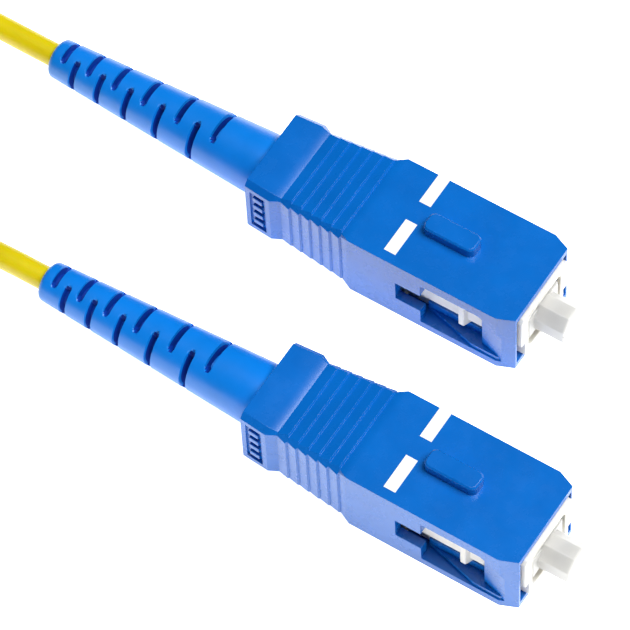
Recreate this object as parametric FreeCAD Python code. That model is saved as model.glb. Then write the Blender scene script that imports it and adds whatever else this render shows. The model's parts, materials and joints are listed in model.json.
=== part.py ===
"""Simplex fibre optic patch cord: one yellow cord with the same push-pull plug on each end.

Millimetres, +Z up.  The plugs point along +X and lie side by side on the floor, end a at +Y and
end b at -Y.  The origin is the bottom centre of the box round the two plugs.  Everything in a plug
is drawn in the plug's own frame first: x = 0 is the front face of its grip housing, y = 0 its
middle plane and z = 0 its underside, and x is negative towards the cord.
"""
import FreeCAD
import Part
import math
import os

V = FreeCAD.Vector

# ---- where the two plugs lie -------------------------------------------------------------
PLUG_SPACING = 18.0          # between the two plug axes
PLUG_STAGGER = 11.3          # plug a lies this far behind plug b

# ---- grip housing ------------------------------------------------------------------------
GRIP_LENGTH = 25.0
GRIP_WIDTH = 9.0
GRIP_HEIGHT = 7.1
GRIP_SIDE_WALL = 0.8
GRIP_TOP_WALL = 0.6
GRIP_TRAVEL = 1.0            # each way along the plug frame
NOSE_CHAMFER_LENGTH = 1.45
NOSE_CHAMFER_DEPTH = 0.6
FLARE_LENGTH = 0.9           # step down from the plain front to the finger grip
BEVEL = 0.5                  # long edges of the finger grip and the rear block
RIB_COUNT = 6
RIB_PITCH = 0.98
RIB_STEP = 0.14              # height of each saw tooth's steep face, which faces the nose
RIB_LEAN = 0.1               # length over which that face rises
RIB_FRONT_X = -15.9          # steep face of the foremost rib
FRONT_SIDE_INSET = 0.15      # finger grip below the plain front, at its front end
RIB_SIDE_INSET = 0.58        # and at its rear end
FRONT_TOP_INSET = 0.1
RIB_TOP_INSET = 0.42
BLOCK_LENGTH = 2.4           # rear block behind the ribs
BLOCK_SIDE_INSET = 0.3       # at the block's front
TAIL_SIDE_INSET = 0.5        # at its rear end
BLOCK_TOP_INSET = 0.3
PANEL_LENGTH = 1.5           # shallow recess with plain bars in each side of the block
PANEL_HEIGHT = 4.6
PANEL_DEPTH = 0.16
PANEL_MARGIN = 0.45
PANEL_BARS = 4
PANEL_BAR_HEIGHT = 0.5

# ---- window in each side of the grip -----------------------------------------------------
WINDOW_REAR_X = -8.4
FRONT_BAR = 0.45
POCKET_LENGTH = 2.65         # front stretch, where the window is a pocket with a slanting back wall
POCKET_SKIN_REAR = 0.15      # thickness of that wall at the pocket's rear and front
POCKET_SKIN_FRONT = 0.75
WINDOW_TOP_WALL = 1.1
WINDOW_BOTTOM_WALL = 0.75
SLOT_LENGTH = 2.3
SLOT_LOW = 2.3
SLOT_HIGH = 4.5
RAMP_LENGTH = 4.6
RAMP_HEIGHT = 0.4
SILL_REACH = 0.75            # lower sill past the side wall's inner face, into the frame's channel
EAR_THICKNESS = 0.25         # upright wall along the sill's inner edge
EAR_TOP = 1.95
EAR_GAP = 0.1                # to the frame's channel

# ---- key on top of the grip --------------------------------------------------------------
KEY_FRONT_X = -5.8
KEY_LENGTH = 4.7
KEY_WIDTH = 1.8
KEY_HEIGHT = 1.0
KEY_CORNER = 0.6
KEY_EDGE = 0.15

# ---- plug frame --------------------------------------------------------------------------
FRAME_PROUD = 0.3            # past the front of the grip, with the grip in mid travel
FRAME_LENGTH = 17.3
HOOK_GAP = 0.25              # frame to the grip's side walls, where an adapter's hooks go
FRAME_SLIDE_GAP = 0.15       # above and below, inside the grip
FRAME_EDGE = 0.35
WELL_WIDTH = 4.8
WELL_HEIGHT = 4.2
WELL_CORNER = 0.6
WELL_DEPTH = 5.9
BULKHEAD = 0.8
FRAME_BORE = 4.9
CHANNEL_LENGTH = 10.8
CHANNEL_HIGH = 2.75          # lower edge of the rail along the frame's upper side
LATCH_X = -5.3
LATCH_LENGTH = 1.0
LATCH_LOW = 2.15
LATCH_HIGH = 5.1
LATCH_PROUD = 0.4            # past the side of the frame

# ---- ferrule, flange, spring, guide tube -------------------------------------------------
FERRULE_DIAMETER = 2.499
FERRULE_LENGTH = 10.5
FERRULE_PROUD = 1.9          # tip past the front of the grip
FERRULE_CHAMFER = 0.3
FERRULE_GAP = 0.05           # round the ferrule, in the bulkhead
GLASS_DIAMETER = 0.125
GLASS_GAP = 0.001
FLANGE_ACROSS_FLATS = 4.2
FLANGE_THICKNESS = 1.6
FLANGE_TAIL_WALL = 0.2
FLANGE_TAIL_LENGTH = 3.0
STOP_GAP = 0.02              # flange to bulkhead, and spring to what it bears on
SPRING_WIRE = 0.45
SPRING_GAP = 0.2             # to the flange's tail
SPRING_LENGTH = 5.0
SPRING_TURNS = 5
GUIDE_WALL = 0.29
GUIDE_LENGTH = 8.0
BUFFER_DIAMETER = 0.9
BUFFER_GAP = 0.06
BUFFER_END_ROOM = 1.8        # buffer stops this far short of the boot's end

# ---- stop body, yarn, crimp sleeve -------------------------------------------------------
STOP_COLLAR_GAP = 0.05
STOP_RIM_INSET = 0.05        # below the frame's top and bottom
STOP_RIM_THICKNESS = 1.2
STOP_BARREL_DIAMETER = 3.4
STOP_BARREL_LENGTH = 6.3
STOP_BORE_GAP = 0.2          # round the guide tube
KNURL_COUNT = 6
KNURL_DEPTH = 0.12
KNURL_WIDTH = 0.4
YARN_THICKNESS = 0.15
YARN_SETBACK = 0.9           # yarn starts this far behind the rim
CRIMP_WALL = 0.3
CRIMP_SETBACK = 0.6          # sleeve starts this far behind the rim
CRIMP_OVERHANG = 1.6         # past the barrel's end, before it necks down on the jacket
CRIMP_NECK_LENGTH = 4.0
CRIMP_GAP = 0.02

# ---- boot --------------------------------------------------------------------------------
BOOT_FRONT_DIAMETER = 5.4
BOOT_END_DIAMETER = 3.35
BOOT_VISIBLE_LENGTH = 20.8
BOOT_STRAIGHT = 1.1          # straight part behind the grip, where the grip slides over it
BOOT_ENTRY = 4.5             # how far it goes into the grip
BOOT_GAP = 0.2               # to the hole in the grip
BOOT_SLEEVE_GAP = 0.03
BOOT_LIP = 0.45              # rounding of the small end
SLOT_OFFSETS = (1.3, 3.75, 6.3, 9.2, 12.5, 16.0)
SLOT_WIDTH = 0.5
SLOT_HALF_ANGLE = 54.0
SLOT_AXIS_ANGLE = 70.0       # middle of the first row, from +Y towards +Z
SLOT_SKIN = 0.3              # left round the cord under the slots

# ---- dust cap ----------------------------------------------------------------------------
CAP_SIDE_WALL = 0.19
CAP_TOP_WALL = 0.29
CAP_CORNER = 0.9             # the stub's four slanting flats
CAP_BORE_GAP = 0.04
CAP_REACH_BACK = 5.9         # length of sleeve behind the ferrule's tip
CAP_END_ROOM = 0.25          # ferrule's tip to the inside of the cap's end
CAP_END_WALL = 0.75
CAP_WING_X = 0.2             # front of the wings, from the grip's front
CAP_WING_THICKNESS = 0.7
CAP_WING_HEIGHT = 2.5
CAP_WING_GAP = 0.25
CAP_EDGE = 0.12

# ---- cord --------------------------------------------------------------------------------
CORD_DIAMETER = 2.0
JACKET_BORE = 1.2
COIL_X = -62.0
COIL_TURN_RADIUS = 12.0      # middle of the winding
COIL_COLUMNS = 3
COIL_LAYERS = 4
TIE_ANGLE = 180.0
TIE_WIDTH = 3.0
TIE_THICKNESS = 0.6

# ---- values that follow from the ones above ----------------------------------------------
AXIS_Z = GRIP_HEIGHT / 2
BOOT_END_X = -(GRIP_LENGTH + BOOT_VISIBLE_LENGTH)
CAP_TIP_X = FERRULE_PROUD + CAP_END_ROOM + CAP_END_WALL
GRIP_CAVITY = GRIP_WIDTH / 2 - GRIP_SIDE_WALL      # side wall's inner face from the middle
SILL_INNER = GRIP_CAVITY - SILL_REACH
CHANNEL_FLOOR = SILL_INNER - EAR_GAP
BOX_LENGTH = PLUG_STAGGER - BOOT_END_X + CAP_TIP_X
FRONT_B_X = BOX_LENGTH / 2 - CAP_TIP_X
FRONT_A_X = FRONT_B_X - PLUG_STAGGER
ENDS = {"a": (FRONT_A_X, PLUG_SPACING / 2), "b": (FRONT_B_X, -PLUG_SPACING / 2)}
BLOCK_FRONT_X = BLOCK_LENGTH - GRIP_LENGTH
RIB_REAR_X = RIB_FRONT_X - RIB_COUNT * RIB_PITCH
FRAME_WIDTH = GRIP_WIDTH - 2 * (GRIP_SIDE_WALL + HOOK_GAP)
FRAME_HEIGHT = GRIP_HEIGHT - 2 * (GRIP_TOP_WALL + FRAME_SLIDE_GAP)
FRAME_REAR_X = FRAME_PROUD - FRAME_LENGTH
BULKHEAD_REAR_X = FRAME_PROUD - WELL_DEPTH - BULKHEAD
FLANGE_FRONT_X = BULKHEAD_REAR_X - STOP_GAP
FLANGE_REAR_X = FLANGE_FRONT_X - FLANGE_THICKNESS
FERRULE_REAR_X = FERRULE_PROUD - FERRULE_LENGTH
TAIL_DIAMETER = FERRULE_DIAMETER + 2 * FLANGE_TAIL_WALL
TAIL_REAR_X = FLANGE_REAR_X - FLANGE_TAIL_LENGTH
SPRING_MEAN_DIAMETER = TAIL_DIAMETER + 2 * SPRING_GAP + SPRING_WIRE
GUIDE_BORE = BUFFER_DIAMETER + 2 * BUFFER_GAP
GUIDE_DIAMETER = GUIDE_BORE + 2 * GUIDE_WALL
CAP_BORE = FERRULE_DIAMETER + 2 * CAP_BORE_GAP
CAP_WIDTH = CAP_BORE + 2 * CAP_SIDE_WALL
CAP_HEIGHT = CAP_BORE + 2 * CAP_TOP_WALL
STOP_FRONT_X = FLANGE_REAR_X - SPRING_LENGTH
STOP_BORE = GUIDE_DIAMETER + 2 * STOP_BORE_GAP
STOP_RIM_DIAMETER = FRAME_HEIGHT - 2 * STOP_RIM_INSET
RIM_REAR_X = FRAME_REAR_X - STOP_RIM_THICKNESS
BARREL_REAR_X = RIM_REAR_X - STOP_BARREL_LENGTH
YARN_OUTER = STOP_BARREL_DIAMETER / 2 + YARN_THICKNESS
CRIMP_OUTER = YARN_OUTER + CRIMP_WALL
CRIMP_SHOULDER_X = BARREL_REAR_X - CRIMP_OVERHANG
CRIMP_REAR_X = CRIMP_SHOULDER_X - CRIMP_NECK_LENGTH
NECK_INNER = CORD_DIAMETER / 2 + CRIMP_GAP
NECK_OUTER = NECK_INNER + CRIMP_WALL
JACKET_FRONT_X = BARREL_REAR_X - CRIMP_OVERHANG / 2
BOOT_FRONT_X = BOOT_ENTRY - GRIP_LENGTH
CAVITY_REAR_X = BOOT_FRONT_X + GRIP_TRAVEL


# ---- helpers -----------------------------------------------------------------------------
def rod(x0, x1, diameter):
    """Round bar on the plug's axis."""
    return Part.makeCylinder(diameter / 2, abs(x1 - x0), V(min(x0, x1), 0, AXIS_Z), V(1, 0, 0))


def ring(x0, x1, outer, inner):
    return rod(x0, x1, outer).cut(rod(x0, x1, inner))


def block(x0, x1, y0, y1, z0, z1):
    return Part.makeBox(x1 - x0, y1 - y0, z1 - z0, V(x0, y0, z0))


def centred_block(x0, x1, width, height):
    return block(x0, x1, -width / 2, width / 2, AXIS_Z - height / 2, AXIS_Z + height / 2)


def flat_face(points):
    return Part.Face(Part.makePolygon(points + [points[0]]))


def turned(points):
    """Solid of revolution about the plug's axis, from (x, radius) points."""
    return flat_face([V(x, 0, AXIS_Z + r) for x, r in points]).revolve(V(0, 0, AXIS_Z), V(1, 0, 0), 360)


def only_solid(shape):
    """The one solid of a cut or fused shape."""
    shape = shape.removeSplitter()
    assert len(shape.Solids) == 1, "expected one solid, found %d" % len(shape.Solids)
    return shape.Solids[0]


def edges_along(shape, axis, low_x, high_x):
    """Straight edges parallel to an axis whose middle lies between two x values."""
    found = []
    for edge in shape.Edges:
        if not isinstance(edge.Curve, Part.Line):
            continue
        way = edge.tangentAt(edge.FirstParameter)
        middle = edge.CenterOfMass.x
        if abs(abs(way.dot(axis)) - 1) < 1e-6 and low_x <= middle <= high_x:
            found.append(edge)
    return found


# ---- grip housing ------------------------------------------------------------------------
def grip_outline(half, front_inset, rib_inset, block_inset, tail_inset, nose):
    """Points (x, distance from the middle) from the nose to the tail, with the ribs' saw teeth."""
    points = [(0, half - nose), (-NOSE_CHAMFER_LENGTH, half)] if nose else [(0, half)]
    points.append((RIB_FRONT_X + FLARE_LENGTH, half))
    slope = (rib_inset - front_inset) / RIB_COUNT
    for i in range(RIB_COUNT):
        x = RIB_FRONT_X - i * RIB_PITCH
        crest = half - front_inset - i * slope
        points.append((x, crest - RIB_STEP))
        points.append((x - RIB_LEAN, crest))
    points.append((RIB_REAR_X, half - rib_inset - RIB_STEP))
    points.append((BLOCK_FRONT_X, half - block_inset))
    points.append((-GRIP_LENGTH, half - tail_inset))
    return points


def bevel_envelope():
    """Four slanting sides that take off the long edges of the finger grip and the block."""
    stations = [(0.5, 0, 0, -2.0), (RIB_FRONT_X + FLARE_LENGTH, 0, 0, 0),
                (RIB_FRONT_X, FRONT_SIDE_INSET, FRONT_TOP_INSET, BEVEL),
                (RIB_REAR_X, RIB_SIDE_INSET, RIB_TOP_INSET, BEVEL),
                (BLOCK_FRONT_X, BLOCK_SIDE_INSET, BLOCK_TOP_INSET, BEVEL),
                (-GRIP_LENGTH - 0.5, TAIL_SIDE_INSET, BLOCK_TOP_INSET, BEVEL)]
    wires = []
    for x, side, top, bevel in stations:
        reach = GRIP_WIDTH / 2 - side + GRIP_HEIGHT / 2 - top - bevel
        wires.append(Part.makePolygon([V(x, reach, AXIS_Z), V(x, 0, AXIS_Z + reach), V(x, -reach, AXIS_Z),
                                       V(x, 0, AXIS_Z - reach), V(x, reach, AXIS_Z)]))
    return Part.makeLoft(wires, True, True)


def window_tool():
    """What the side windows take out: an opening with a slot behind it and a pocket in front."""
    low = WINDOW_BOTTOM_WALL
    high = GRIP_HEIGHT - WINDOW_TOP_WALL
    front = -FRONT_BAR
    rear = front - POCKET_LENGTH
    wall = GRIP_WIDTH / 2 + 1
    tool = block(WINDOW_REAR_X, rear, -wall, wall, low, high)
    slot = block(WINDOW_REAR_X - SLOT_LENGTH, WINDOW_REAR_X + 0.1, -wall, wall, SLOT_LOW, SLOT_HIGH)
    tool = tool.fuse(slot)
    bow = math.sqrt(0.5)
    arc = Part.Arc(V(rear, -wall, high), V(rear + bow * POCKET_LENGTH, -wall, low + bow * (high - low)),
                   V(front, -wall, low))
    edges = [arc, Part.LineSegment(V(front, -wall, low), V(rear - 0.1, -wall, low)),
             Part.LineSegment(V(rear - 0.1, -wall, low), V(rear - 0.1, -wall, high)),
             Part.LineSegment(V(rear - 0.1, -wall, high), V(rear, -wall, high))]
    outline = Part.Face(Part.Wire([e.toShape() for e in edges])).extrude(V(0, 2 * wall, 0))
    for side in (-1, 1):
        plan = flat_face([V(rear - 0.1, side * (GRIP_CAVITY + POCKET_SKIN_REAR), 0),
                          V(front, side * (GRIP_CAVITY + POCKET_SKIN_FRONT), 0),
                          V(front, side * wall, 0), V(rear - 0.1, side * wall, 0)])
        tool = tool.fuse(outline.common(plan.extrude(V(0, 0, GRIP_HEIGHT))))
    return tool


def sills():
    """Lower sills with an upright ear on each, and the ramps that lift the adapter's hooks."""
    outer = GRIP_WIDTH / 2 - 0.15
    rear = WINDOW_REAR_X - 0.05
    front = -FRONT_BAR - 0.2
    top = WINDOW_BOTTOM_WALL
    solids = []
    for side in (-1, 1):
        y0, y1 = sorted((side * SILL_INNER, side * (GRIP_CAVITY + 0.05)))
        solids.append(block(rear, front, y0, y1, GRIP_TOP_WALL - 0.05, top))
        y0, y1 = sorted((side * SILL_INNER, side * (SILL_INNER + EAR_THICKNESS)))
        solids.append(block(rear, front, y0, y1, top - 0.1, EAR_TOP))
        inner = side * (SILL_INNER + EAR_THICKNESS - 0.05)
        wedge = flat_face([V(rear, inner, top - 0.1), V(WINDOW_REAR_X + RAMP_LENGTH, side * outer, top - 0.1),
                           V(-NOSE_CHAMFER_LENGTH, side * outer, top - 0.1),
                           V(front, side * (outer - 0.7 * NOSE_CHAMFER_DEPTH), top - 0.1),
                           V(front, inner, top - 0.1)])
        solids.append(wedge.extrude(V(0, 0, RAMP_HEIGHT + 0.1)))
    return solids


def side_panels():
    """The recess in each side of the block, less the plain bars that stand in it."""
    low = AXIS_Z - PANEL_HEIGHT / 2
    x0 = -GRIP_LENGTH + PANEL_MARGIN
    gap = (PANEL_HEIGHT - PANEL_BARS * PANEL_BAR_HEIGHT) / (PANEL_BARS + 1)
    skin = GRIP_WIDTH / 2 - TAIL_SIDE_INSET - PANEL_DEPTH
    panels = []
    for side in (-1, 1):
        y0, y1 = sorted((side * skin, side * (skin + 2)))
        panel = block(x0, x0 + PANEL_LENGTH, y0, y1, low, low + PANEL_HEIGHT)
        for i in range(PANEL_BARS):
            z = low + gap + i * (PANEL_BAR_HEIGHT + gap)
            panel = panel.cut(block(x0 + 0.3, x0 + PANEL_LENGTH - 0.3, y0, y1, z, z + PANEL_BAR_HEIGHT))
        panels.append(panel)
    return panels


def key():
    x0 = KEY_FRONT_X - KEY_LENGTH
    body = block(x0, KEY_FRONT_X, -KEY_WIDTH / 2, KEY_WIDTH / 2, GRIP_HEIGHT - 0.1, GRIP_HEIGHT + KEY_HEIGHT)
    body = body.makeFillet(KEY_CORNER, edges_along(body, V(0, 0, 1), x0 - 1, KEY_FRONT_X + 1))
    top = [e for e in body.Edges if abs(e.CenterOfMass.z - GRIP_HEIGHT - KEY_HEIGHT) < 1e-6]
    return body.makeChamfer(KEY_EDGE, top)


def grip_housing():
    side = grip_outline(GRIP_WIDTH / 2, FRONT_SIDE_INSET, RIB_SIDE_INSET, BLOCK_SIDE_INSET,
                        TAIL_SIDE_INSET, NOSE_CHAMFER_DEPTH)
    top = grip_outline(GRIP_HEIGHT / 2, FRONT_TOP_INSET, RIB_TOP_INSET, BLOCK_TOP_INSET,
                       BLOCK_TOP_INSET, 0)
    plan = [V(x, d, 0) for x, d in side] + [V(x, -d, 0) for x, d in reversed(side)]
    profile = [V(x, -GRIP_WIDTH, AXIS_Z + d) for x, d in top]
    profile += [V(x, -GRIP_WIDTH, AXIS_Z - d) for x, d in reversed(top)]
    body = flat_face(plan).extrude(V(0, 0, GRIP_HEIGHT))
    body = body.common(flat_face(profile).extrude(V(0, 2 * GRIP_WIDTH, 0)))
    body = body.common(bevel_envelope())
    body = body.fuse(key())
    body = body.cut(centred_block(CAVITY_REAR_X, 1, 2 * GRIP_CAVITY, GRIP_HEIGHT - 2 * GRIP_TOP_WALL))
    body = body.cut(rod(-GRIP_LENGTH - 1, CAVITY_REAR_X + 1, BOOT_FRONT_DIAMETER + 2 * BOOT_GAP))
    body = body.cut(window_tool())
    for panel in side_panels():
        body = body.cut(panel)
    for sill in sills():
        body = body.fuse(sill)
    return only_solid(body)


# ---- plug frame --------------------------------------------------------------------------
def plug_frame():
    body = centred_block(FRAME_REAR_X, FRAME_PROUD, FRAME_WIDTH, FRAME_HEIGHT)
    body = body.makeChamfer(FRAME_EDGE, edges_along(body, V(1, 0, 0), FRAME_REAR_X, FRAME_PROUD))
    well = centred_block(FRAME_PROUD - WELL_DEPTH, FRAME_PROUD + 1, WELL_WIDTH, WELL_HEIGHT)
    well = well.makeFillet(WELL_CORNER, edges_along(well, V(1, 0, 0), -GRIP_LENGTH, GRIP_LENGTH))
    body = body.cut(well)
    body = body.cut(rod(BULKHEAD_REAR_X - 1, FRAME_PROUD, FERRULE_DIAMETER + 2 * FERRULE_GAP))
    body = body.cut(rod(FRAME_REAR_X - 1, BULKHEAD_REAR_X, FRAME_BORE))
    half = FRAME_WIDTH / 2
    for side in (-1, 1):
        y0, y1 = sorted((side * CHANNEL_FLOOR, side * (half + 1)))
        body = body.cut(block(FRAME_PROUD - CHANNEL_LENGTH, FRAME_PROUD + 1, y0, y1, 0, CHANNEL_HIGH))
        root = side * (CHANNEL_FLOOR - 0.1)
        crest = side * (half + LATCH_PROUD)
        latch = flat_face([V(LATCH_X, root, LATCH_LOW), V(LATCH_X, crest, LATCH_LOW),
                           V(LATCH_X + LATCH_LENGTH / 2, crest, LATCH_LOW),
                           V(LATCH_X + LATCH_LENGTH, root, LATCH_LOW)])
        body = body.fuse(latch.extrude(V(0, 0, LATCH_HIGH - LATCH_LOW)))
    return only_solid(body)


# ---- ferrule group -----------------------------------------------------------------------
def ferrule():
    r = FERRULE_DIAMETER / 2
    c = FERRULE_CHAMFER
    hole = GLASS_DIAMETER / 2 + GLASS_GAP
    return only_solid(turned([(FERRULE_REAR_X, 4 * hole), (FERRULE_REAR_X, r), (FERRULE_PROUD - 2 * c, r),
                              (FERRULE_PROUD, r - c), (FERRULE_PROUD, hole), (FERRULE_REAR_X + c, hole)]))


def ferrule_flange():
    corner = FLANGE_ACROSS_FLATS / math.sqrt(3)
    hexagon = []
    for i in range(6):
        angle = math.radians(60 * i)
        hexagon.append(V(FLANGE_REAR_X, corner * math.cos(angle), AXIS_Z + corner * math.sin(angle)))
    body = flat_face(hexagon).extrude(V(FLANGE_THICKNESS, 0, 0))
    body = body.fuse(rod(TAIL_REAR_X, FLANGE_REAR_X + 0.1, TAIL_DIAMETER))
    body = body.cut(rod(FERRULE_REAR_X, FLANGE_FRONT_X + 1, FERRULE_DIAMETER))
    body = body.cut(rod(TAIL_REAR_X - 1, FERRULE_REAR_X + 1, GUIDE_BORE))
    return only_solid(body)


def ferrule_spring():
    """Coil spring between the flange and the stop body."""
    room = SPRING_LENGTH - 2 * STOP_GAP - SPRING_WIRE
    helix = Part.makeHelix(room / SPRING_TURNS, room, SPRING_MEAN_DIAMETER / 2)
    start = V(SPRING_MEAN_DIAMETER / 2, 0, 0)
    section = Part.Wire([Part.makeCircle(SPRING_WIRE / 2, start, V(0, 1, 0))])
    coil = Part.Wire(helix.Edges).makePipeShell([section], True, True)
    coil.rotate(V(0, 0, 0), V(0, 1, 0), 90)
    coil.translate(V(STOP_FRONT_X + STOP_GAP + SPRING_WIRE / 2, 0, AXIS_Z))
    return coil.Solids[0]


def guide_tube():
    return only_solid(ring(TAIL_REAR_X - GUIDE_LENGTH, TAIL_REAR_X, GUIDE_DIAMETER, GUIDE_BORE))


def buffered_fiber():
    return only_solid(rod(BOOT_END_X + BUFFER_END_ROOM, FERRULE_REAR_X, BUFFER_DIAMETER))


def glass_fiber():
    return only_solid(rod(FERRULE_REAR_X, FERRULE_PROUD, GLASS_DIAMETER))


# ---- what holds the cord in the plug -----------------------------------------------------
def stop_body():
    collar = FRAME_BORE - 2 * STOP_COLLAR_GAP
    body = rod(FRAME_REAR_X, STOP_FRONT_X, collar)
    body = body.fuse(rod(RIM_REAR_X, FRAME_REAR_X, STOP_RIM_DIAMETER))
    body = body.fuse(rod(BARREL_REAR_X, RIM_REAR_X, STOP_BARREL_DIAMETER))
    spacing = STOP_BARREL_LENGTH / (KNURL_COUNT + 1)
    for i in range(KNURL_COUNT):
        x = BARREL_REAR_X + (i + 1) * spacing
        groove = ring(x - KNURL_WIDTH / 2, x + KNURL_WIDTH / 2, STOP_BARREL_DIAMETER + 1,
                      STOP_BARREL_DIAMETER - 2 * KNURL_DEPTH)
        body = body.cut(groove)
    return only_solid(body.cut(rod(BARREL_REAR_X - 1, STOP_FRONT_X + 1, STOP_BORE)))


def aramid_yarn():
    """Strength yarn folded back over the barrel, under the crimp sleeve."""
    return only_solid(ring(BARREL_REAR_X, RIM_REAR_X - YARN_SETBACK, 2 * YARN_OUTER, STOP_BARREL_DIAMETER))


def crimp_sleeve():
    front = RIM_REAR_X - CRIMP_SETBACK
    step = CRIMP_WALL
    return only_solid(turned([(front, YARN_OUTER), (front, CRIMP_OUTER), (CRIMP_SHOULDER_X, CRIMP_OUTER),
                              (CRIMP_SHOULDER_X - step, NECK_OUTER), (CRIMP_REAR_X, NECK_OUTER),
                              (CRIMP_REAR_X, NECK_INNER), (CRIMP_SHOULDER_X, NECK_INNER),
                              (CRIMP_SHOULDER_X + step, YARN_OUTER)]))


def jacket_end():
    """The cord's jacket inside the boot."""
    return only_solid(ring(BOOT_END_X, JACKET_FRONT_X, CORD_DIAMETER, JACKET_BORE))


def boot_slot(x, axis_angle):
    """Two opposite slots across the boot, each a little over a quarter of the way round."""
    reach = BOOT_FRONT_DIAMETER
    disc = ring(x - SLOT_WIDTH / 2, x + SLOT_WIDTH / 2, 2 * reach, CORD_DIAMETER + 2 * SLOT_SKIN)
    middle = V(x - SLOT_WIDTH, 0, AXIS_Z)
    pair = None
    for turn in (0, 180):
        corners = [middle]
        for step in (-1.0, -0.5, 0.0, 0.5, 1.0):
            angle = math.radians(axis_angle + turn + step * SLOT_HALF_ANGLE)
            corners.append(middle + V(0, 2 * reach * math.cos(angle), 2 * reach * math.sin(angle)))
        sector = disc.common(flat_face(corners).extrude(V(2 * SLOT_WIDTH, 0, 0)))
        pair = sector if pair is None else pair.fuse(sector)
    return pair


def boot():
    front = BOOT_FRONT_DIAMETER / 2
    end = BOOT_END_DIAMETER / 2
    taper_x = -GRIP_LENGTH - BOOT_STRAIGHT
    sleeve = CRIMP_OUTER + BOOT_SLEEVE_GAP
    neck = NECK_OUTER + BOOT_SLEEVE_GAP
    bore = CORD_DIAMETER / 2
    body = turned([(BOOT_FRONT_X, sleeve), (BOOT_FRONT_X, front), (taper_x, front), (BOOT_END_X, end),
                   (BOOT_END_X, bore), (CRIMP_REAR_X, bore), (CRIMP_REAR_X, neck),
                   (CRIMP_SHOULDER_X - CRIMP_WALL - BOOT_SLEEVE_GAP, neck),
                   (CRIMP_SHOULDER_X - BOOT_SLEEVE_GAP, sleeve)])
    small_end = [e for e in body.Edges if abs(e.CenterOfMass.x - BOOT_END_X) < 1e-6]
    rim = max(small_end, key=lambda e: e.Length)
    body = body.makeFillet(min(BOOT_LIP, (end - bore) * 0.7), [rim])
    for i, offset in enumerate(SLOT_OFFSETS):
        body = body.cut(boot_slot(BOOT_END_X + offset, SLOT_AXIS_ANGLE))
        if i + 1 < len(SLOT_OFFSETS):
            between = (offset + SLOT_OFFSETS[i + 1]) / 2
            body = body.cut(boot_slot(BOOT_END_X + between, SLOT_AXIS_ANGLE + 90))
    return only_solid(body)


def dust_cap():
    """Soft sleeve over the ferrule: an eight-sided stub in front and two wings in the frame's well."""
    back = FERRULE_PROUD - CAP_REACH_BACK
    body = centred_block(back, CAP_TIP_X, CAP_WIDTH, CAP_HEIGHT)
    body = body.makeChamfer(CAP_CORNER, edges_along(body, V(1, 0, 0), back, CAP_TIP_X))
    tip = [e for e in body.Edges if abs(e.CenterOfMass.x - CAP_TIP_X) < 1e-6]
    body = body.makeChamfer(CAP_EDGE, tip)
    wing = centred_block(CAP_WING_X - CAP_WING_THICKNESS, CAP_WING_X, WELL_WIDTH - 2 * CAP_WING_GAP,
                         CAP_WING_HEIGHT)
    body = body.fuse(wing)
    return only_solid(body.cut(rod(back - 1, FERRULE_PROUD + CAP_END_ROOM, CAP_BORE)))


# ---- cord --------------------------------------------------------------------------------
def rounded_path(points):
    """Straight runs joined by tangent arcs, each as large as its two runs allow."""
    edges = []
    radii = []
    start = points[0]
    for before, corner, after in zip(points, points[1:], points[2:]):
        way_in = (corner - before).normalize()
        way_out = (after - corner).normalize()
        half_turn = way_in.getAngle(way_out) / 2
        reach = 0.45 * min((corner - before).Length, (after - corner).Length)
        radius = reach / math.tan(half_turn)
        first = corner - way_in * reach
        last = corner + way_out * reach
        inward = (way_out - way_in).normalize()
        middle = corner + inward * (radius / math.cos(half_turn) - radius)
        edges.append(Part.LineSegment(start, first).toShape())
        edges.append(Part.Arc(first, middle, last).toShape())
        radii.append(round(radius, 1))
        start = last
    edges.append(Part.LineSegment(start, points[-1]).toShape())
    return Part.Wire(edges), radii


def cord_run(name, points):
    path, radii = rounded_path(points)
    section = Part.Wire([Part.makeCircle(CORD_DIAMETER / 2, points[0], points[1] - points[0])])
    tube = path.makePipeShell([section], True, False)
    full = math.pi * CORD_DIAMETER ** 2 / 4 * path.Length
    print(name, "radii", radii, "length", round(path.Length, 2), "volume/section x length",
          round(tube.Volume / full, 4))
    return tube.Solids[0]


def winding_section(grow):
    """Rounded outline of the winding's cross-section, in the XZ plane at the coil's near side."""
    half = COIL_COLUMNS * CORD_DIAMETER / 2 + grow
    high = COIL_LAYERS * CORD_DIAMETER + grow
    outline = block(COIL_TURN_RADIUS - half, COIL_TURN_RADIUS + half, 0, 1, -grow, high)
    outline = outline.makeFillet(CORD_DIAMETER / 2, edges_along(outline, V(0, 1, 0), -1e3, 1e3))
    flat = [f for f in outline.Faces if f.normalAt(0, 0).y < -0.99]
    return flat[0]


def about_coil(shape):
    moved = shape.copy()
    moved.translate(V(COIL_X, 0, 0))
    return moved


def tie_place(shape):
    shape.rotate(V(0, 0, 0), V(0, 0, 1), TIE_ANGLE)
    return shape


def coil_tie():
    """Band round the winding, let into it so that the coil still lies flat."""
    outer = winding_section(0).extrude(V(0, TIE_WIDTH, 0))
    inner = winding_section(-TIE_THICKNESS).extrude(V(0, TIE_WIDTH, 0))
    band = outer.cut(inner)
    band.translate(V(0, -TIE_WIDTH / 2, 0))
    return about_coil(tie_place(only_solid(band)))


def cord_coil():
    winding = winding_section(0).revolve(V(0, 0, 0), V(0, 0, 1), 360)
    return only_solid(about_coil(winding).cut(tie_slot()))


def tie_slot():
    """Room for the tie: all of the winding outside the band's inner face."""
    slab = block(COIL_TURN_RADIUS * 0.4, COIL_TURN_RADIUS * 1.6, -TIE_WIDTH / 2, TIE_WIDTH / 2,
                 -1, COIL_LAYERS * CORD_DIAMETER + 1)
    inner = winding_section(-TIE_THICKNESS).extrude(V(0, TIE_WIDTH + 2, 0))
    inner.translate(V(0, -TIE_WIDTH / 2 - 1, 0))
    return about_coil(tie_place(slab.cut(inner)))


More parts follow.
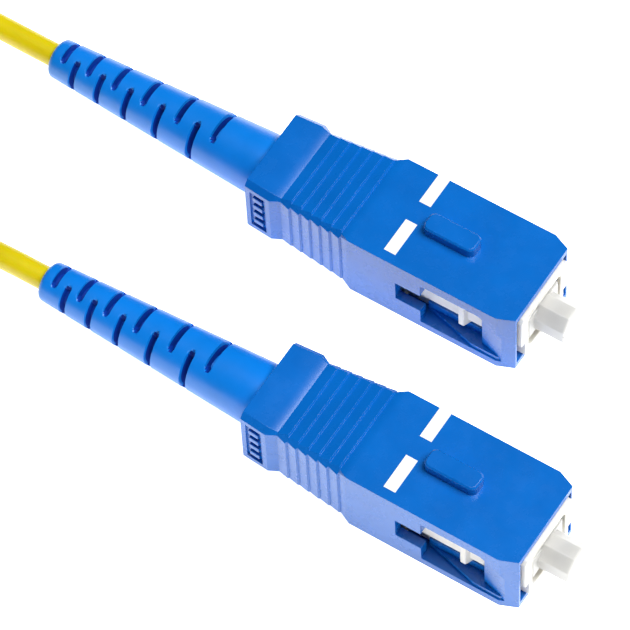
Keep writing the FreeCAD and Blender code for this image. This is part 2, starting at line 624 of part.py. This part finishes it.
def cord_routes():
    """Hand-chosen points from each boot to the coil, which the last point touches."""
    xa = FRONT_A_X + BOOT_END_X
    ya = PLUG_SPACING / 2
    xb = FRONT_B_X + BOOT_END_X
    yb = -PLUG_SPACING / 2
    lie = CORD_DIAMETER / 2
    top = (COIL_LAYERS - 0.5) * CORD_DIAMETER
    outer = COIL_TURN_RADIUS + (COIL_COLUMNS - 1) * CORD_DIAMETER / 2
    route_a = [V(xa, ya, AXIS_Z), V(-39.5, ya, AXIS_Z), V(-48.5, 10.2, 2.1), V(-56.0, 12.9, lie),
               V(COIL_X, outer, lie)]
    route_b = [V(xb, yb, AXIS_Z), V(-27.5, yb, AXIS_Z), V(-35.5, -9.9, 1.8), V(-42.5, -12.0, lie),
               V(-49.0, -13.8, 3.3), V(-55.0, -14.2, 6.4), V(COIL_X, -outer, top)]
    return route_a, route_b


# ---- build and write ---------------------------------------------------------------------
PLUG_PIECES = {
    "grip_housing": grip_housing,
    "plug_frame": plug_frame,
    "ferrule": ferrule,
    "ferrule_flange": ferrule_flange,
    "ferrule_spring": ferrule_spring,
    "guide_tube": guide_tube,
    "buffered_fiber": buffered_fiber,
    "glass_fiber": glass_fiber,
    "stop_body": stop_body,
    "aramid_yarn": aramid_yarn,
    "crimp_sleeve": crimp_sleeve,
    "jacket_end": jacket_end,
    "boot": boot,
    "dust_cap": dust_cap,
}


def build():
    nodes = {}
    for name, make in PLUG_PIECES.items():
        shape = make()
        for end, (x, y) in ENDS.items():
            placed = shape.copy()
            placed.translate(V(x, y, 0))
            nodes[name + "_" + end] = placed
    route_a, route_b = cord_routes()
    nodes["cord_run_a"] = cord_run("cord_run_a", route_a)
    nodes["cord_run_b"] = cord_run("cord_run_b", route_b)
    nodes["coil_tie"] = coil_tie()
    nodes["cord_coil"] = cord_coil()
    return nodes


def main():
    os.makedirs("parts", exist_ok=True)
    for name, shape in build().items():
        assert shape.isValid(), name + " is not a valid solid"
        shape.exportStep(os.path.join("parts", name + ".step"))
        box = shape.BoundBox
        print("%-18s volume %9.3f  x %7.2f..%7.2f  y %7.2f..%7.2f  z %6.2f..%6.2f" % (
            name, shape.Volume, box.XMin, box.XMax, box.YMin, box.YMax, box.ZMin, box.ZMax))


main()
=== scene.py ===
# Simplex fibre optic patch cord: two push-pull plugs on one yellow cord with its middle in a tied coil.
import bmesh
import bpy
import json
import math
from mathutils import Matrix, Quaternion, Vector

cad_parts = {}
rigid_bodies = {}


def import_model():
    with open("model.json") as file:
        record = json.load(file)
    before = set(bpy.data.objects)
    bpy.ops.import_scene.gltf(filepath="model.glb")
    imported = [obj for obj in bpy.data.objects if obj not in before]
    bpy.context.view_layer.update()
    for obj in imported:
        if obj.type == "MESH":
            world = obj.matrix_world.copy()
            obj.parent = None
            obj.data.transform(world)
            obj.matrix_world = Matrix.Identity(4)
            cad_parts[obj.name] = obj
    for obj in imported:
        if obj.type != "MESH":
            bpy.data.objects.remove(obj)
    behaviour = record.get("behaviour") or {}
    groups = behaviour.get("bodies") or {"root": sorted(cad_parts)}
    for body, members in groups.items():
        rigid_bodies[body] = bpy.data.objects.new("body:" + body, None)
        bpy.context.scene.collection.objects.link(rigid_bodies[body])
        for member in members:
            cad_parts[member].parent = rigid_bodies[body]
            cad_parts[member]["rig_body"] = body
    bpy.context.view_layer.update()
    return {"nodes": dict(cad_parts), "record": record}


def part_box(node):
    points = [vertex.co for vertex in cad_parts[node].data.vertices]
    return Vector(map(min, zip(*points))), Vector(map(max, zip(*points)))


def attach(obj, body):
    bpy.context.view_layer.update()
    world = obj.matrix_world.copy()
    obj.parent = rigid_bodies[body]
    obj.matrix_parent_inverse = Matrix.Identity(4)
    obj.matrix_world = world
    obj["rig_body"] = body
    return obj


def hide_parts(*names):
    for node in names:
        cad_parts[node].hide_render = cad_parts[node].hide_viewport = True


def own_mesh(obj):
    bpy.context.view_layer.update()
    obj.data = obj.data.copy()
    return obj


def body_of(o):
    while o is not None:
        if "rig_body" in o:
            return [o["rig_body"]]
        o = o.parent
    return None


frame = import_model()

MM = 0.001
ENDS = ("a", "b")

# ---- sizes, in millimetres, and angles, in degrees ---------------------------------------
PLUG_FRONT = {"a": (15.8, 9.0), "b": (27.1, -9.0)}     # front of each grip and its middle plane
AXIS_Z = 3.55
GRIP_TOP = 7.1
RIBS_FROM = -21.9            # finger ribs, from the grip's front
RIBS_TO = -15.6
MARK_REAR = -12.2            # the two white marks across the top
MARK_FRONT = -11.15
MARK_SPANS = ((-3.64, -0.39), (1.55, 4.46))
MARK_THICKNESS = 0.02
BOOT_LENGTH = 25.3
BOOT_TAPER = 19.7            # from the small end to where the taper stops
BOOT_END_RADIUS = 1.675
BOOT_FRONT_RADIUS = 2.7
BOOT_LIP = 0.45              # rounding of the small end
BOOT_LAND = 0.4              # extra rings this far either side of where the taper stops
BOOT_SHARP = 50.0            # edges sharper than this many degrees are shaded as edges
BOOT_SLOTS = (1.3, 3.75, 6.3, 9.2, 12.5, 16.0)         # middle of each slot in the first row
SLOT_AXIS = 70.0             # middle of the first row of slots, from +Y towards +Z
SLOT_HALF_ANGLE = 54.0
SLOT_ROUND = 7.0             # degrees by which a slot's sides stop short of its middle
SLOT_FADE = 8.0              # degrees over which a slot's end runs out
SLOT_FLOOR = 1.1             # radius left at the bottom
SLOT_WALL = 0.25             # steep wall in front of the slot's middle, and its thickness
SLOT_WALL_WIDTH = 0.05
SLOT_FOOT = -0.2             # the floor ends here and a slope begins
SLOT_SLOPE = 0.14            # length of that slope
SLOT_SHADE_FROM = 0.16       # share of the slot's depth where the matt rubber with painted shade begins
SLOT_RINGS = (-0.42, -0.34, -0.32, -0.295, -0.27, -0.235, SLOT_FOOT, -0.1, 0.025, 0.15, SLOT_WALL,
              0.262, 0.275, 0.288, 0.3, 0.36)          # rings of the boot's skin at each slot
BOOT_INSIDE = ((0.0, 1.01), (15.7, 1.01), (15.7, 1.35), (19.67, 1.35), (19.73, 2.18), (25.3, 2.18))
BOOT_SIDES = 96
GRIP_EDGE = 0.1              # width of the rounding of the moulded edges
FRAME_EDGE = 0.08
CAP_EDGE = 0.06
RIB_EDGE_SHARE = 0.45        # on the ribs the grip's edges have this share of it
EDGE_SEGMENTS = 3
EDGE_FROM = 24.0             # edges that turn by more than this many degrees are rounded
WELD = 0.002                 # corners this close are one
FLAT_WITHIN = 0.6            # faces within this many degrees of each other become one
CORD_DIAMETER = 2.0
COIL_X = -62.0
COIL_TURN_RADIUS = 12.0
COIL_COLUMNS = 3
COIL_LAYERS = 4
TURN_POINTS = 16             # control points in each turn of the coil
SHIFT_FIRST = 395.0          # where the first turn moves to its next place, round the coil
SHIFT_EVERY = 315.5          # from one such move to the next
SHIFT_LENGTH = 60.0          # over which a move takes place
COIL_START = 90.0
COIL_END = 3870.0
TIE_ANGLE = 180.0            # where the tie goes round the coil
TIE_REACH = 3.2              # half of the strap's loop across the winding, to the strap's middle
TIE_RISE = 3.9               # and half of it upwards
TIE_BEND = 1.15              # radius of its corners
TIE_WIDTH = 3.0
TIE_THICKNESS = 0.3
TIE_CORNER_STEPS = 8
TIE_SECTION = 16             # points round the strap's own section
TIE_EDGE_POWERS = (0.35, 0.6)          # how square that section is, across and through the strap
PINCH_SPAN = 50.0            # degrees either side of the tie over which the layers are pressed together
PINCH = 5.5 / 6.0            # what that leaves of the height between the outer layers' middles
# control points of the loose cord, from boot a to the coil and from the coil to boot b
RUN_A = ((-30.0, 9.0, 3.55), (-39.5, 9.0, 3.55), (-48.5, 10.2, 2.1), (-56.0, 12.9, 1.0))
RUN_B = ((-55.0, -14.2, 6.4), (-49.0, -13.8, 3.3), (-42.5, -12.0, 1.0), (-35.5, -9.9, 1.8),
         (-27.5, -9.0, 3.55), (-18.7, -9.0, 3.55))

# ---- the view and the stage, in the same units -------------------------------------------
CAMERA_LENS = 285.7
CAMERA_SENSOR = 36.0
CAMERA_AZIMUTH = 35.6
CAMERA_ELEVATION = 58.5
CAMERA_ROLL = -3.5
CAMERA_TARGET = (-0.27, 1.02, 0.0)
CAMERA_DISTANCE = 395.4
LIGHT_DISTANCE = 0.9         # metres
WORLD_STRENGTH = 0.02
FLOOR_REACH = 4.0            # metres each way
FLOOR_DROP = 0.02            # below the object, so that the two don't share a plane
FLOOR_GLOW = 1.2             # keeps the floor white at any angle


# ---- camera ------------------------------------------------------------------------------
def towards(azimuth, elevation):
    """Unit vector from the object to a viewer; azimuth 0 stands at -Y and 90 at +X."""
    a = math.radians(azimuth)
    e = math.radians(elevation)
    return Vector((math.sin(a) * math.cos(e), -math.cos(a) * math.cos(e), math.sin(e)))


def make_camera():
    data = bpy.data.cameras.new("camera")
    data.lens = CAMERA_LENS
    data.sensor_width = CAMERA_SENSOR
    data.clip_start = 0.01
    data.clip_end = 20.0
    camera = bpy.data.objects.new("camera", data)
    bpy.context.scene.collection.objects.link(camera)
    back = towards(CAMERA_AZIMUTH, CAMERA_ELEVATION)
    camera.location = Vector(CAMERA_TARGET) * MM + back * CAMERA_DISTANCE * MM
    camera.rotation_mode = "QUATERNION"
    roll = Quaternion((0, 0, 1), math.radians(CAMERA_ROLL))
    camera.rotation_quaternion = (-back).to_track_quat("-Z", "Y") @ roll
    bpy.context.scene.camera = camera


# ---- material helpers --------------------------------------------------------------------
class Finish:
    """A Principled material and short ways to add nodes to it."""

    def __init__(self, name, **sockets):
        self.material = bpy.data.materials.new(name)
        self.material.use_nodes = True
        self.nodes = self.material.node_tree.nodes
        self.links = self.material.node_tree.links
        self.shader = self.nodes["Principled BSDF"]
        for socket, value in sockets.items():
            self.shader.inputs[socket.replace("_", " ")].default_value = value
        self.place = self.nodes.new("ShaderNodeTexCoord").outputs["Object"]

    def add(self, kind, inputs=(), **settings):
        node = self.nodes.new("ShaderNode" + kind)
        for key, value in settings.items():
            setattr(node, key, value)
        for socket, value in dict(inputs).items():
            if isinstance(value, bpy.types.NodeSocket):
                self.links.new(value, node.inputs[socket])
            else:
                node.inputs[socket].default_value = value
        return node

    def noise(self, scale, detail=3.0, roughness=0.5, place=None):
        node = self.add("TexNoise", {"Vector": place or self.place, "Scale": scale, "Detail": detail,
                                     "Roughness": roughness})
        return node.outputs["Fac"]

    def stretched(self, x, y, z):
        """Object coordinates scaled along each axis."""
        return self.add("Mapping", {"Vector": self.place, "Scale": (x, y, z)}).outputs["Vector"]

    def ramp(self, value, stops):
        node = self.add("ValToRGB", {"Fac": value})
        ramp = node.color_ramp
        while len(ramp.elements) < len(stops):
            ramp.elements.new(0.5)
        for element, (position, colour) in zip(ramp.elements, stops):
            element.position = position
            element.color = (*colour, 1.0)
        return node.outputs["Color"]

    def spread(self, value, low, high):
        """A noise value turned into a range of roughness."""
        node = self.add("MapRange", {"Value": value, "From Min": 0.3, "From Max": 0.7,
                                     "To Min": low, "To Max": high})
        return node.outputs["Result"]

    def bump(self, height, strength, distance, normal=None):
        inputs = {"Height": height, "Strength": strength, "Distance": distance}
        if normal is not None:
            inputs["Normal"] = normal
        return self.add("Bump", inputs).outputs["Normal"]

    def connect(self, socket, value):
        self.links.new(value, self.shader.inputs[socket])


def moulded_plastic(name, dark, light, roughness, texture=0.2, **sockets):
    """Injection moulded plastic: faint flow clouds, a soft unevenness and patches of duller gloss."""
    f = Finish(name, **sockets)
    clouds = f.noise(260.0, 4.0, 0.55)
    f.connect("Base Color", f.ramp(clouds, [(0.35, dark), (0.65, light)]))
    f.connect("Roughness", f.spread(f.noise(700.0, 5.0, 0.6), roughness - 0.03, roughness + 0.04))
    f.connect("Normal", f.bump(f.noise(420.0, 3.0), texture, 0.00002))
    return f


# ---- materials ---------------------------------------------------------------------------
def blue_plastic():
    return moulded_plastic("blue_plastic", (0.0005, 0.122, 0.490), (0.001, 0.138, 0.545), 0.26,
                           IOR=1.5, Specular_IOR_Level=0.5)


def blue_rubber():
    return moulded_plastic("blue_rubber", (0.0005, 0.180, 0.660), (0.001, 0.200, 0.740), 0.34,
                           IOR=1.5, Specular_IOR_Level=0.5)


def slot_rubber_painted_shade():
    """The boot's rubber inside its slots: matt, and painted dark navy as the shade that falls in the slots.
    """
    return moulded_plastic("slot_rubber_painted_shade", (0.0005, 0.030, 0.290), (0.0005, 0.042, 0.360), 0.6,
                           texture=0.3, Specular_IOR_Level=0.2)


def white_plastic():
    f = moulded_plastic("white_plastic", (0.74, 0.72, 0.67), (0.80, 0.78, 0.73), 0.38,
                        Subsurface_Weight=0.3, Subsurface_Scale=0.0008)
    f.shader.inputs["Subsurface Radius"].default_value = (1.0, 0.9, 0.7)
    return f


def clear_cap():
    f = moulded_plastic("clear_cap", (0.62, 0.615, 0.59), (0.69, 0.685, 0.655), 0.30, IOR=1.49,
                        Subsurface_Weight=0.5, Subsurface_Scale=0.001, Transmission_Weight=0.15)
    f.shader.inputs["Subsurface Radius"].default_value = (1.0, 1.0, 0.95)
    return f


def zirconia():
    return moulded_plastic("zirconia", (0.80, 0.79, 0.75), (0.86, 0.85, 0.82), 0.10, IOR=2.1,
                           Subsurface_Weight=0.2, Subsurface_Scale=0.0004)


def metal(name, dark, light, roughness, stretch):
    """Turned or drawn metal with fine tool marks across the given direction."""
    f = Finish(name, Metallic=1.0)
    marks = f.noise(1.0, 4.0, 0.6, f.stretched(*stretch))
    f.connect("Base Color", f.ramp(f.noise(500.0, 3.0), [(0.35, dark), (0.65, light)]))
    f.connect("Roughness", f.spread(marks, roughness - 0.06, roughness + 0.08))
    f.connect("Normal", f.bump(marks, 0.3, 0.000004))
    return f


def nickel_brass():
    return metal("nickel_brass", (0.62, 0.61, 0.57), (0.72, 0.70, 0.66), 0.22, (22000.0, 500.0, 500.0))


def aluminium():
    return metal("aluminium", (0.70, 0.70, 0.71), (0.80, 0.80, 0.81), 0.34, (900.0, 6000.0, 6000.0))


def spring_steel():
    return metal("spring_steel", (0.48, 0.48, 0.50), (0.60, 0.60, 0.61), 0.25, (9000.0, 9000.0, 9000.0))


def ptfe():
    return moulded_plastic("ptfe", (0.80, 0.80, 0.79), (0.86, 0.86, 0.85), 0.5,
                           Subsurface_Weight=0.3, Subsurface_Scale=0.0008)


def buffer_coating():
    return moulded_plastic("buffer_coating", (0.78, 0.76, 0.70), (0.84, 0.83, 0.77), 0.4)


def glass_fiber():
    return moulded_plastic("glass_fiber", (0.86, 0.90, 0.92), (0.92, 0.95, 0.96), 0.06, IOR=1.46,
                           Transmission_Weight=0.9)


def aramid_yarn():
    """Yellow strength yarn, its strands along the cord."""
    f = Finish("aramid_yarn", Sheen_Weight=0.4)
    strands = f.noise(1.0, 3.0, 0.6, f.stretched(300.0, 14000.0, 14000.0))
    f.connect("Base Color", f.ramp(strands, [(0.3, (0.55, 0.38, 0.05)), (0.7, (0.86, 0.68, 0.16))]))
    f.connect("Roughness", f.spread(strands, 0.45, 0.7))
    f.connect("Normal", f.bump(strands, 0.8, 0.00003))
    return f


def yellow_jacket():
    """Extruded jacket: satin, with a faint unevenness and a few darker clouds."""
    f = Finish("yellow_jacket", IOR=1.5, Specular_IOR_Level=0.5)
    shades = [(0.35, (0.64, 0.520, 0.0005)), (0.65, (0.70, 0.575, 0.001))]
    f.connect("Base Color", f.ramp(f.noise(300.0, 3.0), shades))
    f.connect("Roughness", f.spread(f.noise(900.0, 4.0, 0.6), 0.34, 0.44))
    f.connect("Normal", f.bump(f.noise(600.0, 3.0), 0.3, 0.00003))
    f.shader.inputs["Subsurface Weight"].default_value = 0.15
    f.shader.inputs["Subsurface Scale"].default_value = 0.0008
    return f


def tie_fabric():
    """Black woven band: ribs across it and a fuzz of loops."""
    f = Finish("tie_fabric", Sheen_Weight=0.5, Sheen_Roughness=0.5)
    weave = f.add("TexWave", {"Vector": f.place, "Scale": 900.0, "Distortion": 1.5, "Detail": 2.0},
                  bands_direction="Z").outputs["Fac"]
    fuzz = f.noise(9000.0, 4.0, 0.7)
    f.connect("Base Color", f.ramp(fuzz, [(0.3, (0.010, 0.010, 0.012)), (0.7, (0.045, 0.045, 0.050))]))
    f.connect("Roughness", f.spread(fuzz, 0.75, 0.95))
    f.connect("Normal", f.bump(fuzz, 0.8, 0.00004, f.bump(weave, 0.6, 0.00006)))
    return f


def mark_paint():
    """Hot stamped white mark, a little thin in places."""
    f = Finish("mark_paint")
    cover = f.noise(2600.0, 4.0, 0.6)
    f.connect("Base Color", f.ramp(cover, [(0.22, (0.74, 0.79, 0.88)), (0.38, (0.90, 0.90, 0.90))]))
    f.connect("Roughness", f.spread(cover, 0.40, 0.52))
    f.connect("Normal", f.bump(cover, 0.3, 0.000005))
    return f


MATERIALS = {make.__name__: make().material for make in (
    blue_plastic, blue_rubber, slot_rubber_painted_shade, white_plastic, clear_cap, zirconia, nickel_brass, aluminium,
    spring_steel, ptfe, buffer_coating, glass_fiber, aramid_yarn, yellow_jacket, tie_fabric, mark_paint)}
NODE_SLOT = {part["node"]: part["material_slot"] for part in frame["record"]["subparts"]}


# ---- pieces ------------------------------------------------------------------------------
def add_piece(name, data, body, slot, material=None):
    """A new object on a CAD body, in the finish of one of the record's slots."""
    piece = bpy.data.objects.new(name, data)
    bpy.context.scene.collection.objects.link(piece)
    data.materials.clear()
    data.materials.append(MATERIALS[material or slot])
    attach(piece, body)
    return piece


def rounded_copy(node, name, body, width, fine=None):
    """A replacement for a CAD node with its flat faces whole and its sharp edges rounded."""
    bm = bmesh.new()
    bm.from_mesh(frame["nodes"][node].data)
    bmesh.ops.remove_doubles(bm, verts=bm.verts, dist=WELD * MM)
    bmesh.ops.dissolve_limit(bm, angle_limit=math.radians(FLAT_WITHIN), verts=bm.verts, edges=bm.edges)
    weight = bm.edges.layers.float.new("bevel_weight_edge")
    for edge in bm.edges:
        if len(edge.link_faces) == 2 and edge.calc_face_angle(0.0) > math.radians(EDGE_FROM):
            middle = (edge.verts[0].co + edge.verts[1].co) / 2
            edge[weight] = fine(middle / MM) if fine else 1.0
    for face in bm.faces:
        face.smooth = True
    mesh = bpy.data.meshes.new(name)
    bm.to_mesh(mesh)
    bm.free()
    piece = add_piece(name, mesh, body, NODE_SLOT[node])
    bevel = piece.modifiers.new("rounded edges", "BEVEL")
    bevel.width = width * MM
    bevel.segments = EDGE_SEGMENTS
    bevel.limit_method = "WEIGHT"
    bevel.use_clamp_overlap = True
    even = piece.modifiers.new("even shading", "WEIGHTED_NORMAL")
    even.mode = "FACE_AREA"
    even.weight = 100
    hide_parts(node)


def make_grip(end):
    """The grip with rounded edges, finer on the ribs."""
    front_x = PLUG_FRONT[end][0]

    def fine(middle):
        return RIB_EDGE_SHARE if RIBS_FROM < middle.x - front_x < RIBS_TO else 1.0

    rounded_copy("grip_housing_" + end, "grip_shell_" + end, "grip_" + end, GRIP_EDGE, fine)


def make_marks(end):
    """Two white marks across the top of the grip, with a lip just thick enough to show."""
    front_x, mid_y = PLUG_FRONT[end]
    for i, (low, high) in enumerate(MARK_SPANS):
        bm = bmesh.new()
        bottom = [bm.verts.new(Vector((front_x + x, mid_y + y, GRIP_TOP - MARK_THICKNESS)) * MM)
                  for x, y in ((MARK_REAR, low), (MARK_FRONT, low), (MARK_FRONT, high), (MARK_REAR, high))]
        face = bm.faces.new(bottom)
        top = bmesh.ops.extrude_face_region(bm, geom=[face])["geom"]
        lift = [v for v in top if isinstance(v, bmesh.types.BMVert)]
        bmesh.ops.translate(bm, verts=lift, vec=(0, 0, 2 * MARK_THICKNESS * MM))
        bmesh.ops.recalc_face_normals(bm, faces=bm.faces)
        mesh = bpy.data.meshes.new("mark")
        bm.to_mesh(mesh)
        bm.free()
        add_piece("mark_%s_%d" % (end, i + 1), mesh, "grip_" + end, "white_plastic", "mark_paint")


def smooth_step(t):
    t = min(1.0, max(0.0, t))
    return t * t * (3 - 2 * t)


def slot_share(u, off_axis):
    """How deep a slot is, from 0 to 1, at u in front of its middle, off_axis degrees round from its axis."""
    if u > SLOT_FOOT:
        along = smooth_step((SLOT_WALL + SLOT_WALL_WIDTH - u) / SLOT_WALL_WIDTH)
    else:
        along = smooth_step(1 + (u - SLOT_FOOT) / SLOT_SLOPE)
    from_middle = min(1.0, abs((2 * u - SLOT_WALL - SLOT_FOOT) / (SLOT_WALL - SLOT_FOOT)))
    turned = abs((off_axis + 180) % 360 - 180)
    turned += SLOT_ROUND * from_middle ** 2
    return along * smooth_step((SLOT_HALF_ANGLE + SLOT_FADE / 2 - turned) / SLOT_FADE)


def boot_slots():
    """Middle and axis of each slot; the second row stands between the first's, a quarter turn on."""
    slots = [(offset, SLOT_AXIS) for offset in BOOT_SLOTS]
    for offset, following in zip(BOOT_SLOTS, BOOT_SLOTS[1:]):
        slots.append(((offset + following) / 2, SLOT_AXIS + 90))
    return slots


def boot_cut(s, angle):
    """How deep the slots are at this point of the boot, from 0 to 1."""
    return max(slot_share(s - offset, angle - axis) for offset, axis in boot_slots())


def boot_radius(s, angle):
    """Outer radius of the boot at s from its small end."""
    radius = BOOT_END_RADIUS + (BOOT_FRONT_RADIUS - BOOT_END_RADIUS) * min(1.0, s / BOOT_TAPER)
    if s < BOOT_LIP:
        radius -= BOOT_LIP - math.sqrt(BOOT_LIP ** 2 - (BOOT_LIP - s) ** 2)
    return radius - boot_cut(s, angle) * max(0.0, radius - SLOT_FLOOR)


def ring_faces(rings, sides):
    """Quads between rings of vertices, the last ring joined to the first."""
    faces = []
    for i in range(rings):
        ahead = (i + 1) % rings
        for j in range(sides):
            k = (j + 1) % sides
            faces.append((i * sides + j, i * sides + k, ahead * sides + k, ahead * sides + j))
    return faces


def make_boot(end):
    """The tapered boot as one closed skin: forward along the outside and back along the bore."""
    rear_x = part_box("boot_" + end)[0].x
    mid_y = PLUG_FRONT[end][1]
    stations = {round(BOOT_LIP * (1 - math.cos(math.radians(a))), 4) for a in range(0, 91, 15)}
    stations |= {round(offset + u, 4) for offset, axis in boot_slots() for u in SLOT_RINGS}
    stations |= {BOOT_TAPER - BOOT_LAND, BOOT_TAPER, BOOT_TAPER + BOOT_LAND, BOOT_LENGTH}
    outside = sorted(stations)
    angles = [360.0 * j / BOOT_SIDES for j in range(BOOT_SIDES)]
    vertices = [(s, boot_radius(s, angle), angle) for s in outside for angle in angles]
    vertices += [(s, radius, angle) for s, radius in reversed(BOOT_INSIDE) for angle in angles]
    places = [(rear_x + s * MM, (mid_y + r * math.cos(math.radians(a))) * MM,
               (AXIS_Z + r * math.sin(math.radians(a))) * MM) for s, r, a in vertices]
    faces = ring_faces(len(outside) + len(BOOT_INSIDE), BOOT_SIDES)
    mesh = bpy.data.meshes.new("boot")
    mesh.from_pydata(places, [], faces)
    mesh.shade_smooth()
    mesh.set_sharp_from_angle(angle=math.radians(BOOT_SHARP))
    piece = add_piece("slotted_boot_" + end, mesh, "cord", "blue_rubber")
    # faces deep in the slots take the rubber with painted shade
    mesh.materials.append(MATERIALS["slot_rubber_painted_shade"])
    for face in mesh.polygons[:(len(outside) - 1) * BOOT_SIDES]:
        cuts = [boot_cut(vertices[k][0], vertices[k][2]) for k in face.vertices]
        if sum(cuts) > len(cuts) * SLOT_SHADE_FROM:
            face.material_index = 1
    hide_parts("boot_" + end)


def make_spring(end):
    """The spring, as its own copy of the CAD spring on the same body."""
    node = "ferrule_spring_" + end
    body = body_of(frame["nodes"][node])[0]
    piece = add_piece("coil_spring_" + end, frame["nodes"][node].data.copy(), body, NODE_SLOT[node])
    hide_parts(node)
    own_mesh(piece)


def make_cord():
    """The whole cord between the boots, as one spline through the coil."""
    points = [*RUN_A, *coil_turns(), *RUN_B]
    curve = bpy.data.curves.new("patch_cord", "CURVE")
    curve.dimensions = "3D"
    spline = curve.splines.new("NURBS")
    spline.points.add(len(points) - 1)
    for point, place in zip(spline.points, points):
        point.co = (*(Vector(place) * MM), 1.0)
    spline.order_u = 3
    spline.use_endpoint_u = True
    spline.resolution_u = 6
    curve.bevel_depth = CORD_DIAMETER / 2 * MM
    curve.bevel_resolution = 8
    curve.use_fill_caps = True
    cord = add_piece("patch_cord", curve, "cord", "yellow_jacket")
    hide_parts("cord_run_a", "cord_run_b", "cord_coil")
    return cord


def coil_cells():
    """Radius and height of each turn's place in the winding, in the order it is wound."""
    radii = [COIL_TURN_RADIUS + (COIL_COLUMNS - 1 - 2 * i) * CORD_DIAMETER / 2
             for i in range(COIL_COLUMNS)]
    cells = []
    for layer in range(COIL_LAYERS):
        for radius in radii if layer % 2 == 0 else radii[::-1]:
            cells.append((radius, (layer + 0.5) * CORD_DIAMETER))
    return cells


def coil_turns():
    """Control points of the turns, side by side and layer on layer.

    Each turn moves to its next place a little earlier than the one before it.
    """
    cells = coil_cells()
    middle = COIL_LAYERS * CORD_DIAMETER / 2
    step = 360.0 / TURN_POINTS
    stand_out = 1 / math.cos(math.radians(step / 2))
    points = []
    for i in range(round((COIL_END - COIL_START) / step) + 1):
        angle = COIL_START + i * step
        progress = 0.0
        for n in range(len(cells) - 1):
            progress += smooth_step((angle - SHIFT_FIRST - n * SHIFT_EVERY) / SHIFT_LENGTH + 0.5)
        n = min(int(progress), len(cells) - 2)
        share = progress - n
        radius = (1 - share) * cells[n][0] + share * cells[n + 1][0]
        height = (1 - share) * cells[n][1] + share * cells[n + 1][1]
        pressed = smooth_step(1 - abs(angle % 360 - TIE_ANGLE) / PINCH_SPAN)
        height += pressed * ((TIE_RISE + TIE_THICKNESS / 2) + PINCH * (height - middle) - height)
        turn = math.radians(angle)
        reach = radius * stand_out
        points.append((COIL_X + reach * math.cos(turn), reach * math.sin(turn), height))
    return points


def make_tie():
    """A flat woven strap round the winding, as one closed loop with soft edges."""
    mid_x = COIL_X - COIL_TURN_RADIUS
    mid_z = TIE_RISE + TIE_THICKNESS / 2
    path = []
    for quarter, (side, up) in enumerate(((1, 1), (-1, 1), (-1, -1), (1, -1))):
        for i in range(TIE_CORNER_STEPS + 1):
            a = math.radians(90 * (quarter + i / TIE_CORNER_STEPS))
            path.append((mid_x + side * (TIE_REACH - TIE_BEND) + TIE_BEND * math.cos(a),
                         mid_z + up * (TIE_RISE - TIE_BEND) + TIE_BEND * math.sin(a), a))
    vertices = []
    for x, z, a in path:
        for k in range(TIE_SECTION):
            b = math.radians(360.0 * k / TIE_SECTION)
            across = TIE_WIDTH / 2 * math.copysign(abs(math.cos(b)) ** TIE_EDGE_POWERS[0], math.cos(b))
            out = TIE_THICKNESS / 2 * math.copysign(abs(math.sin(b)) ** TIE_EDGE_POWERS[1], math.sin(b))
            vertices.append(((x + out * math.cos(a)) * MM, across * MM, (z + out * math.sin(a)) * MM))
    mesh = bpy.data.meshes.new("tie")
    mesh.from_pydata(vertices, [], ring_faces(len(path), TIE_SECTION))
    mesh.shade_smooth()
    tie = add_piece("tie_strap", mesh, "cord", "tie_fabric")
    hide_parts("coil_tie")


# ---- stage -------------------------------------------------------------------------------
def make_stage():
    """A pale floor that goes past every view."""
    mesh = bpy.data.meshes.new("floor")
    corners = [(x * FLOOR_REACH, y * FLOOR_REACH, 0) for x, y in ((-1, -1), (1, -1), (1, 1), (-1, 1))]
    mesh.from_pydata(corners, [], [(0, 1, 2, 3)])
    floor = bpy.data.objects.new("floor", mesh)
    floor.location.z = -FLOOR_DROP * MM
    bpy.context.scene.collection.objects.link(floor)
    f = Finish("floor_paper", Roughness=0.9, Specular_IOR_Level=0.1, Emission_Strength=FLOOR_GLOW)
    f.shader.inputs["Emission Color"].default_value = (1.0, 1.0, 1.0, 1.0)
    shades = [(0.3, (0.93, 0.93, 0.93)), (0.7, (0.945, 0.945, 0.945))]
    f.connect("Base Color", f.ramp(f.noise(40.0, 2.0), shades))
    mesh.materials.append(f.material)


def softbox(name, azimuth, elevation, size, power):
    """A round area light that faces the object."""
    data = bpy.data.lights.new(name, "AREA")
    data.shape = "DISK"
    data.size = size
    data.energy = power
    light = bpy.data.objects.new(name, data)
    bpy.context.scene.collection.objects.link(light)
    back = towards(azimuth, elevation)
    light.location = back * LIGHT_DISTANCE
    light.rotation_mode = "QUATERNION"
    light.rotation_quaternion = (-back).to_track_quat("-Z", "Y")


def make_lights():
    softbox("key", 115, 60, 0.6, 8.0)
    softbox("top", 70, 80, 0.5, 4.0)
    world = bpy.data.worlds.new("studio")
    world.use_nodes = True
    background = world.node_tree.nodes["Background"]
    background.inputs["Color"].default_value = (1.0, 1.0, 1.0, 1.0)
    background.inputs["Strength"].default_value = WORLD_STRENGTH
    bpy.context.scene.world = world
    bpy.context.scene.view_settings.view_transform = "Standard"
    bpy.context.scene.view_settings.look = "None"


# ---- build -------------------------------------------------------------------------------
make_camera()
make_stage()
make_lights()
cord = make_cord()
make_tie()
for node, piece in frame["nodes"].items():
    piece.data.materials.clear()
    piece.data.materials.append(MATERIALS[NODE_SLOT[node]])
for end in ENDS:
    make_grip(end)
    make_marks(end)
    make_boot(end)
    make_spring(end)
    rounded_copy("plug_frame_" + end, "inner_frame_" + end, "cord", FRAME_EDGE)
    rounded_copy("dust_cap_" + end, "cap_" + end, "cap_" + end, CAP_EDGE)
